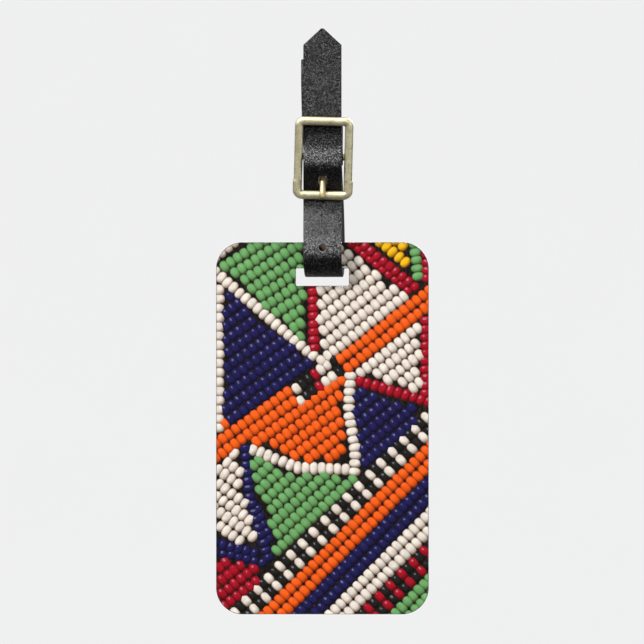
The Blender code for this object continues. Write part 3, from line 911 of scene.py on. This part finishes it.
def flat_piece(name, loops, front, back, edge, surface):
    """A flat piece with rounded rims, from an outline and its openings in X and height."""
    curve = bpy.data.curves.new(name, "CURVE")
    curve.dimensions = "2D"
    curve.fill_mode = "BOTH"
    curve.extrude = (back - front) / 2 - edge
    curve.bevel_depth = edge
    curve.bevel_resolution = 2
    curve.offset = -edge
    for i, loop in enumerate(loops):
        points = loop if i == 0 else loop[::-1]
        spline = curve.splines.new("POLY")
        spline.points.add(len(points) - 1)
        for point, (x, height) in zip(spline.points, points):
            point.co = (x, level(height), 0.0, 1.0)
        spline.use_cyclic_u = True
    maker = linked(name, curve)
    graph = bpy.context.evaluated_depsgraph_get()
    data = bpy.data.meshes.new_from_object(maker.evaluated_get(graph))
    bpy.data.objects.remove(maker)
    bpy.data.curves.remove(curve)
    upright = Matrix.Rotation(math.radians(90), 4, "X")
    data.transform(Matrix.Translation((0.0, (front + back) / 2, 0.0)) @ upright)
    data.materials.clear()
    mesh = bmesh.new()
    mesh.from_mesh(data)
    bmesh.ops.remove_doubles(mesh, verts=mesh.verts, dist=0.002 * MM)
    bmesh.ops.recalc_face_normals(mesh, faces=mesh.faces)
    bpy.data.meshes.remove(data)
    piece = mesh_object(name, mesh, (surface,))
    level_faces = piece.modifiers.new("level_faces", "WEIGHTED_NORMAL")
    level_faces.keep_sharp = True
    applied(piece)
    return piece


def make_layers(clear, white, paper):
    """The plate's flat layers and the address panel."""
    layer = (layer_outline(24), slot_outline(5))
    low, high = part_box("address_label")
    panel = (rounded_rectangle(low.x, high.x, low.z - plate_low.z, high.z - plate_low.z, LABEL_CORNER, 10),)
    for name, source, loops, edge, surface, finish in (
            ("front_cover_sheet", "front_sheet", layer, 0.14 * MM, clear, "clear_sheet"),
            ("core_board", "core", layer, 0.08 * MM, white, "white_core"),
            ("back_cover_sheet", "back_sheet", layer, 0.14 * MM, clear, "clear_sheet"),
            ("address_panel", "address_label", panel, 0.05 * MM, paper, "label")):
        low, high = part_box(source)
        piece = flat_piece(name, loops, low.y, high.y, edge, surface)
        finish_piece(piece, "tag", finish, source)


# Printed beadwork: each bead is a low relief of ink on the print

INKS = {
    "cream": (tint(232, 221, 210), 0.0),
    "orange": (tint(244, 96, 22), 0.15),
    "green": (tint(110, 166, 101), 0.15),
    "navy": (tint(33, 30, 84), 0.5),
    "maroon": (tint(170, 18, 38), 0.55),
    "yellow": (tint(240, 184, 20), 0.15),
    "black": (tint(34, 32, 28), 0.6),
}


class Beadwork:
    """Beads on the plate's face, each as x, height, angle, half sizes along and across its row, and ink."""

    def __init__(self, seed):
        self.beads = []
        self.random = random.Random(seed)

    def add(self, x, height, angle, along, across, ink):
        """One bead, a little out of line and of its own size."""
        loose = self.random.uniform
        self.beads.append((x + loose(-0.07, 0.07) * MM, height + loose(-0.07, 0.07) * MM,
                           angle + math.radians(loose(-6, 6)), along * loose(0.93, 1.07),
                           across * loose(0.94, 1.06), ink))

    def crowded(self, x, height, reach=CROWDED):
        """Whether another bead is already there."""
        return any(abs(b[0] - x) < reach and math.hypot(b[0] - x, b[1] - height) < reach for b in self.beads)

    def string(self, inks, *corners, pitch=BEAD_PITCH, width=BEAD_ROW):
        """Beads along a line through corners in millimetres, their inks repeating."""
        inks = inks.split()
        corners = [Vector(c) * MM for c in corners]
        gone, count = 0.0, 0
        for start, end in zip(corners, corners[1:]):
            length = (end - start).length
            angle = math.atan2(end.y - start.y, end.x - start.x)
            while gone < length:
                spot = start.lerp(end, gone / length)
                if not self.crowded(spot.x, spot.y, STRING_CROWDED):
                    ink = inks[count % len(inks)]
                    self.add(spot.x, spot.y, angle, pitch * BEAD_FULL, width * ROW_FULL, ink)
                gone += pitch
                count += 1
            gone -= length

    def diagonals(self, bands, first, gap, below, above):
        """Parallel strings at the diagonal, one for each band's inks, in millimetres."""
        along = Vector((math.cos(DIAGONAL), math.sin(DIAGONAL)))
        out = Vector((along.y, -along.x))
        for i, inks in enumerate(bands):
            middle = out * (first + gap * i)
            self.string(inks, middle - along * below, middle + along * above, width=BAND_ROW)

    def field(self, ink, degrees, *corners):
        """Rows of beads at an angle, filling a shape whose corners are in millimetres."""
        corners = [Vector(c) * MM for c in corners]
        angle = math.radians(degrees)
        along = Vector((math.cos(angle), math.sin(angle)))
        across = Vector((-along.y, along.x))
        rows = [c.dot(across) for c in corners]
        places = [c.dot(along) for c in corners]
        row = math.floor(min(rows) / BEAD_ROW)
        while row * BEAD_ROW < max(rows):
            spot = math.floor(min(places) / BEAD_PITCH) * BEAD_PITCH
            spot += self.random.uniform(0.0, BEAD_PITCH)
            while spot < max(places):
                middle = along * spot + across * (row * BEAD_ROW)
                if inside(middle, corners) and not self.crowded(middle.x, middle.y):
                    self.add(middle.x, middle.y, angle, BEAD_PITCH * BEAD_FULL, BEAD_ROW * ROW_FULL, ink)
                spot += BEAD_PITCH
            row += 1


def inside(point, corners):
    """Whether the point is within the closed shape."""
    found = False
    for a, b in zip(corners, corners[1:] + corners[:1]):
        if (a.y > point.y) != (b.y > point.y):
            if point.x < a.x + (b.x - a.x) * (point.y - a.y) / (b.y - a.y):
                found = not found
    return found


def front_beadwork():
    """Bands, triangles and strings of beads, in millimetres from the middle and up from the bottom."""
    work = Beadwork(seed=11)
    # strings that border the fields
    work.string("cream", (-25.6, 81.8), (-1.6, 61.2))
    work.string("cream", (-24.8, 44.5), (-24.8, 77.6), pitch=2.2 * MM)
    work.string("maroon", (-2.0, 63.6), (-2.6, 89.0))
    work.string("maroon", (8.6, 89.2), (22.2, 78.2), width=2.2 * MM)
    work.string("maroon", (6.9, 88.3), (20.6, 77.2), width=1.6 * MM)
    work.string("green", (22.0, 88.4), (22.9, 80.2))
    work.string("maroon", (25.0, 86.0), (24.9, 79.0))
    work.string("orange", (25.6, 77.4), (3.9, 60.6))
    work.string("orange", (25.9, 74.2), (5.4, 58.3))
    work.string("maroon", (24.7, 72.0), (24.7, 51.0))
    work.string("maroon", (8.9, 55.8), (25.6, 50.7))
    work.string("cream", (6.7, 57.0), (6.3, 49.0), (7.9, 39.0), (7.6, 33.6), width=2.75 * MM)
    work.string("cream", (-16.6, 39.3), (-6.0, 35.0), (6.2, 34.6), width=2.8 * MM)
    work.string("navy", (-18.4, 39.6), (-17.4, 28.0), (-12.6, 12.4))
    work.string("navy", (-16.0, 27.0), (-12.0, 16.5), width=1.8 * MM)
    work.string("navy", (-25.6, 17.0), (-14.5, 14.2))
    work.string("navy", (-25.6, 14.8), (-14.0, 12.3), width=2.0 * MM)
    work.string("cream", (-25.8, 85.4), (-20.6, 89.4))
    # the small knot where the bands meet
    knot = "cream black black maroon cream cream black"
    work.string(knot, (-6.2, 53.9), (3.4, 61.3), pitch=1.85 * MM)
    work.string(knot, (-5.2, 51.0), (5.0, 58.7), pitch=1.9 * MM)
    # parallel bands across the lower right
    bands = ["cream black"] * 2 + ["orange"] * 2 + ["navy"] * 2 + ["cream"] * 2
    bands += ["maroon black"] * 2 + ["green"] * 3
    work.diagonals(bands, first=-15.2, gap=2.76, below=22, above=58)
    # fields
    work.field("green", 33, (-26, 81), (-26, 90), (-3.4, 90), (-2.8, 61.5))
    work.field("cream", 38, (-0.6, 59.5), (-1.2, 90), (7.5, 90), (22.8, 76.8), (4.4, 62.3))
    work.field("yellow", -40, (10.5, 90), (21.5, 90), (21.5, 80.0))
    work.field("cream", 38, (6.6, 56.2), (24.2, 71.8), (24.2, 51.4))
    work.field("navy", 36, (-24.2, 80.0), (-2.0, 61.5), (-5.4, 55.4), (-24.2, 43.0))
    work.field("orange", 36, (-26, 45), (-6.8, 55.4), (-4.2, 50.6), (4.9, 56.6), (4.9, 36.2), (-6, 36.8),
               (-16, 41.2), (-26, 35.5))
    work.field("navy", 40, (7.2, 56.0), (26, 50.2), (26, 46.0), (8.4, 33.6))
    work.field("green", 43, (-18.0, 39.6), (-6, 34.4), (10.0, 34.4), (-11.4, 11.6))
    work.field("cream", -36, (-26, 37.0), (-18.6, 41.2), (-15.6, 15.4), (-26, 17.6))
    work.field("maroon", 38, (-26, 14.0), (-12.6, 11.0), (-23, -1), (-26, -1))
    return work.beads


def back_beadwork():
    """Plain parallel bands, left out where the address panel hides them."""
    work = Beadwork(seed=29)
    low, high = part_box("address_label")
    inks = "cream orange orange navy navy cream green green navy maroon maroon".split()
    work.diagonals([inks[i % len(inks)] for i in range(48)], first=-84.4, gap=2.73, below=26, above=82)
    margin = 1.6 * MM
    return [b for b in work.beads
            if abs(b[0]) > high.x - margin or not low.z + margin < level(b[1]) < high.z - margin]


def clip(polygon, point, inward):
    """The part of a convex polygon on the inward side of a line through the point."""
    kept = []
    for a, b in zip(polygon, polygon[1:] + polygon[:1]):
        far_a, far_b = (a - point).dot(inward), (b - point).dot(inward)
        if far_a >= 0:
            kept.append(a)
        if far_a * far_b < 0:
            kept.append(a.lerp(b, far_a / (far_a - far_b)))
    return kept


def clip_all(polygon, walls):
    """The part of a convex polygon inside all the walls."""
    for point, inward in walls:
        polygon = clip(polygon, point, inward)
        if len(polygon) < 3:
            return []
    return polygon


def plate_walls(inset):
    """The plate's outline as lines, each a point and the way in."""
    outline = [Vector(p) for p in layer_outline(8)]
    walls = []
    for a, b in zip(outline, outline[1:] + outline[:1]):
        if (b - a).length > 1e-7:
            inward = Vector((a.y - b.y, b.x - a.x)).normalized()
            walls.append((a + inward * inset, inward))
    return walls


def slot_sides(inset):
    """Four sets of lines: what is left of the slot, right of it, and below and above it in between."""
    left, right = Vector((-SLOT_WIDTH / 2 - inset, 0.0)), Vector((SLOT_WIDTH / 2 + inset, 0.0))
    low, high = Vector((0.0, SLOT_LOW - inset)), Vector((0.0, SLOT_HIGH + inset))
    across, up = Vector((1.0, 0.0)), Vector((0.0, 1.0))
    ends = [(left, across), (right, -across)]
    return [(left, -across)], [(right, across)], ends + [(low, -up)], ends + [(high, up)]


def bead_cells(bead):
    """A bead's outline split into flat cells, with the function that gives the slope at a point."""
    x, height, angle, along, across, _ = bead
    middle = Vector((x, height))
    turned = Matrix.Rotation(angle, 2)
    squared = 2 / BEAD_SQUARENESS
    rim = [turned @ Vector((math.copysign(abs(math.cos(a)) ** squared, math.cos(a)) * along,
                            math.copysign(abs(math.sin(a)) ** squared, math.sin(a)) * across))
           for a in full_turn(BEAD_SIDES)]
    parts = []
    for a, b in zip(rim, rim[1:] + rim[:1]):
        parts.append([middle, middle + a * 0.6, middle + b * 0.6])
        parts.append([middle + a * 0.6, middle + a, middle + b, middle + b * 0.6])

    def slope(point):
        """How far out the point is, as 0 at the middle to 1 at the rim, in the plate's directions."""
        local = turned.transposed() @ (point - middle)
        share = Vector((local.x / along, local.y / across))
        length = (abs(share.x) ** BEAD_SQUARENESS + abs(share.y) ** BEAD_SQUARENESS) ** (1 / BEAD_SQUARENESS)
        if length < 1e-6:
            return Vector((0.0, 0.0))
        facing = turned @ Vector((share.x / along, share.y / across))
        return facing.normalized() * min(length, 1.0)

    return parts, slope


def make_beads(name, beads, side, base_y, surface):
    """All the beads of one face as one low relief. Side is -1 for the front and 1 for the back."""
    walls = plate_walls(BEAD_INSET)
    around = slot_sides(BEAD_INSET)
    points, faces, slopes, colors = [], [], [], []
    for bead in beads:
        x, height = bead[:2]
        middle = Vector((x, height))
        if any((middle - p).dot(inward) < -BEAD_REACH for p, inward in walls):
            continue
        near = [w for w in walls if (middle - w[0]).dot(w[1]) < BEAD_REACH]
        by_slot = (abs(x) < SLOT_WIDTH / 2 + BEAD_REACH
                   and SLOT_LOW - BEAD_REACH < height < SLOT_HIGH + BEAD_REACH)
        parts, slope = bead_cells(bead)
        color, gloss = INKS[bead[5]]
        known = {}
        for part in parts:
            part = clip_all(part, near)
            shares = [clip_all(part, lines) for lines in around] if by_slot and part else [part]
            for share in shares:
                corners = []
                for p in share:
                    key = (round(p.x, 7), round(p.y, 7))
                    if key not in known:
                        known[key] = len(points)
                        lean = slope(p)
                        rise = BEAD_RISE * (1 - lean.length_squared)
                        points.append((p.x, side * (base_y + rise), level(p.y)))
                        slopes.append((lean.x, lean.y, gloss))
                        colors.append(color)
                    if known[key] not in corners:
                        corners.append(known[key])
                if len(corners) > 2:
                    faces.append(corners if side < 0 else corners[::-1])
    data = bpy.data.meshes.new(name)
    data.from_pydata(points, [], faces)
    data.attributes.new("bead_slope", "FLOAT_VECTOR", "POINT").data.foreach_set(
        "vector", [v for slope in slopes for v in slope])
    data.attributes.new("bead_color", "FLOAT_COLOR", "POINT").data.foreach_set(
        "color", [v for color in colors for v in color])
    made = data_object(name, data, (surface,))
    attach(made, "tag")


def make_prints(ground, beads):
    """A dark printed ground and its beads, on the front and on the back."""
    loops = (layer_outline(24), slot_outline(5))
    for source, side, finish, work in (("front_print", -1, "printed_layer", front_beadwork()),
                                       ("back_print", 1, "back_layer", back_beadwork())):
        low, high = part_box(source)
        near = min(abs(low.y), abs(high.y))
        ground_face = near + GROUND_THICK
        front, back = sorted((side * near, side * ground_face))
        sheet = flat_piece(source + "_ground", loops, front, back, 0.02 * MM, ground)
        finish_piece(sheet, "tag", finish, source)
        make_beads(source + "_beads", work, side, ground_face + BEAD_GAP, beads)


# Studio


def area_light(name, location, target, size, watts, color=(1.0, 1.0, 1.0)):
    """A round light of a diameter in metres that points at the target."""
    data = bpy.data.lights.new(name, "AREA")
    data.shape = "DISK"
    data.size = size
    data.energy = watts
    data.color = color
    light = linked(name, data)
    light.location = location
    light.rotation_euler = (Vector(target) - Vector(location)).to_track_quat("-Z", "Y").to_euler()


def make_backdrop(surface):
    """A floor that curves up into a wall far behind the object."""
    floor, wall, sweep, half, front = -0.62, 1.9, 0.9, 3.2, -3.2
    profile = [(front, floor), (wall - sweep, floor)]
    profile += [(wall - sweep + sweep * math.sin(a), floor + sweep - sweep * math.cos(a))
                for a in (math.radians(90 * i / 24) for i in range(1, 25))]
    profile.append((wall, 3.0))
    mesh = bmesh.new()
    sides = [[mesh.verts.new((x, y, z)) for y, z in profile] for x in (-half, half)]
    for i in range(len(profile) - 1):
        mesh.faces.new((sides[0][i], sides[1][i], sides[1][i + 1], sides[0][i + 1]))
    backdrop = mesh_object("backdrop", mesh, (surface,))


def make_world():
    """Soft light from all round, dimmer in front so that gloss has contrast. It looks pale itself."""
    world = bpy.data.worlds.new("studio")
    bpy.context.scene.world = world
    world.use_nodes = True
    tree = world.node_tree
    tree.nodes.clear()
    ray = node(tree, "TexCoord").outputs["Generated"]
    parts = split(tree, ray)
    high = between(tree, parts["Z"], -0.2, 0.95, 0.12, 1.3)
    front = between(tree, parts["Y"], -1.0, 0.2, 0.3, 1.0)
    soft = node(tree, "Background", {"Color": (0.96, 0.98, 1.0, 1), "Strength": times(tree, high, front)})
    seen = node(tree, "Background", {"Color": (0.862, 0.863, 0.866, 1), "Strength": 1.0})
    direct = node(tree, "LightPath").outputs["Is Camera Ray"]
    both = node(tree, "MixShader", {0: direct, 1: soft.outputs[0], 2: seen.outputs[0]})
    node(tree, "OutputWorld", {"Surface": both.outputs[0]})


def make_camera():
    """A long lens, level with the object and square to its front."""
    data = bpy.data.cameras.new("camera")
    data.lens = CAMERA_LENS
    data.sensor_width = CAMERA_SENSOR
    data.clip_start, data.clip_end = 0.01, 20.0
    camera = linked("camera", data)
    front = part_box("front_sheet")[0].y
    distance = VIEW_WIDTH * CAMERA_LENS / CAMERA_SENSOR
    camera.location = (LOOK_X, front - distance, level(LOOK_HEIGHT))
    camera.rotation_euler = (math.radians(90), 0.0, 0.0)
    bpy.context.scene.camera = camera


def make_studio():
    """Backdrop, world and lights."""
    middle = (0.0, 0.0, level(LOOK_HEIGHT))
    make_world()
    make_backdrop(pale_backdrop())
    area_light("key", (-0.62, -0.68, 0.8), middle, 0.3, 20.0, (1.0, 0.985, 0.96))
    area_light("front", (0.05, -1.15, 0.3), middle, 0.16, 3.0)
    area_light("fill", (0.85, -0.8, 0.0), middle, 0.5, 2.5, (0.95, 0.98, 1.0))
    area_light("top", (-0.05, -0.5, 0.95), middle, 0.25, 2.0)
    area_light("back", (0.5, 0.75, 0.4), middle, 0.5, 6.0)
    bpy.context.scene.view_settings.view_transform = "Standard"


def main():
    make_camera()
    make_studio()
    make_strap(grain_leather(), flesh_leather(), edge_leather(), raw_leather())
    make_stitching(waxed_thread())
    make_buckle(cast_brass())
    make_prong(prong_brass())
    make_layers(clear_plastic(), white_plastic(), ruled_label())
    make_prints(print_ground(), printed_beads())


main()
